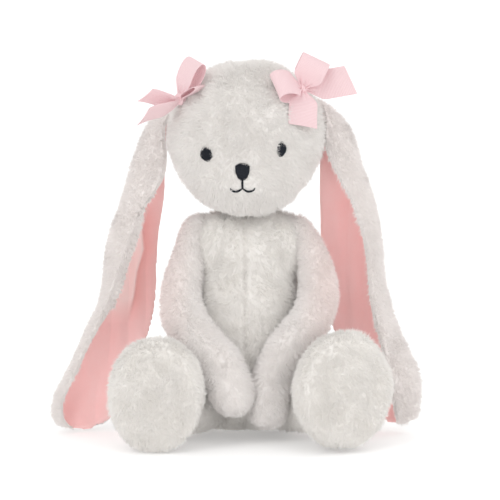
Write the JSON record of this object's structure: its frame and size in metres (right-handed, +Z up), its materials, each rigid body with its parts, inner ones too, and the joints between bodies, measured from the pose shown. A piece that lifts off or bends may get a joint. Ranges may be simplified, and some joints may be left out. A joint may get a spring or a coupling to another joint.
{
  "type": "stuffed rabbit",
  "caption": "Seated plush rabbit with long lop ears, ribbon bows, embroidered face and hinged head, ears, arms and legs.",
  "frame": {"origin": "on the floor, under the middle of the body", "axes": "+Z up; the rabbit faces -Y; its own left is +X"},
  "size_m": [0.2773, 0.1958, 0.2873],
  "materials": {
    "fur": "short off-white plush pile",
    "ear_lining": "smooth pink knit with a soft sheen",
    "ribbon": "pale pink ribbed ribbon",
    "dark_thread": "dark navy satin stitch",
    "sewing_thread": "matte off-white thread",
    "filling": "loose polyester fibre",
    "pouch_cloth": "plain woven cotton",
    "pellets": "small matte beads"
  },
  "bodies": {
    "torso": {"left_chest_panel": "fur", "right_chest_panel": "fur", "body_back_panel": "fur", "body_fill": "filling", "seat_pouch": "pouch_cloth", "seat_pellets": "pellets", "tail_cover": "fur", "tail_fill": "filling"},
    "neck": {"neck_plug": "filling", "neck_thread": "sewing_thread"},
    "head": {"left_face_panel": "fur", "right_face_panel": "fur", "head_back_panel": "fur", "head_fill": "filling", "left_eye": "dark_thread", "right_eye": "dark_thread", "nose": "dark_thread", "mouth": "dark_thread", "left_bow_loop_1": "ribbon", "left_bow_loop_2": "ribbon", "left_bow_tail_1": "ribbon", "left_bow_tail_2": "ribbon", "left_bow_knot": "ribbon", "right_bow_loop_1": "ribbon", "right_bow_loop_2": "ribbon", "right_bow_tail_1": "ribbon", "right_bow_tail_2": "ribbon", "right_bow_knot": "ribbon"},
    "left_ear": {"left_ear_fur": "fur", "left_ear_lining": "ear_lining"},
    "left_arm": {"left_arm_front_panel": "fur", "left_arm_back_panel": "fur", "left_arm_fill": "filling"},
    "left_leg": {"left_leg_upper": "fur", "left_sole": "fur", "left_leg_fill": "filling"},
    "right_ear": {"right_ear_fur": "fur", "right_ear_lining": "ear_lining"},
    "right_arm": {"right_arm_front_panel": "fur", "right_arm_back_panel": "fur", "right_arm_fill": "filling"},
    "right_leg": {"right_leg_upper": "fur", "right_sole": "fur", "right_leg_fill": "filling"}
  },
  "joints": [
    {"name": "head_turn", "type": "hinge", "parent": "torso", "child": "neck", "pos_m": [0.001, 0.004, 0.173], "axis": [0, 0, 1], "range_deg": [-15, 15]},
    {"name": "head_nod", "type": "hinge", "parent": "neck", "child": "head", "pos_m": [0.001, 0.004, 0.173], "axis": [-1, 0, 0], "range_deg": [-5, 15]},
    {"name": "left_ear_lift", "type": "hinge", "parent": "head", "child": "left_ear", "pos_m": [0.054, 0.003, 0.249], "axis": [0, -1, 0], "range_deg": [0, 50]},
    {"name": "right_ear_lift", "type": "hinge", "parent": "head", "child": "right_ear", "pos_m": [-0.057, 0.003, 0.247], "axis": [0, 1, 0], "range_deg": [0, 50]},
    {"name": "left_arm_swing", "type": "hinge", "parent": "torso", "child": "left_arm", "pos_m": [0.039, -0.001, 0.154], "axis": [-1, 0, 0], "range_deg": [0, 90]},
    {"name": "right_arm_swing", "type": "hinge", "parent": "torso", "child": "right_arm", "pos_m": [-0.036, -0.001, 0.153], "axis": [-1, 0, 0], "range_deg": [0, 90]},
    {"name": "left_leg_splay", "type": "hinge", "parent": "torso", "child": "left_leg", "pos_m": [0.033, -0.032, 0.024], "axis": [0, 0, 1], "range_deg": [0, 25]},
    {"name": "right_leg_splay", "type": "hinge", "parent": "torso", "child": "right_leg", "pos_m": [-0.033, -0.032, 0.024], "axis": [0, 0, -1], "range_deg": [0, 25]}
  ]
}
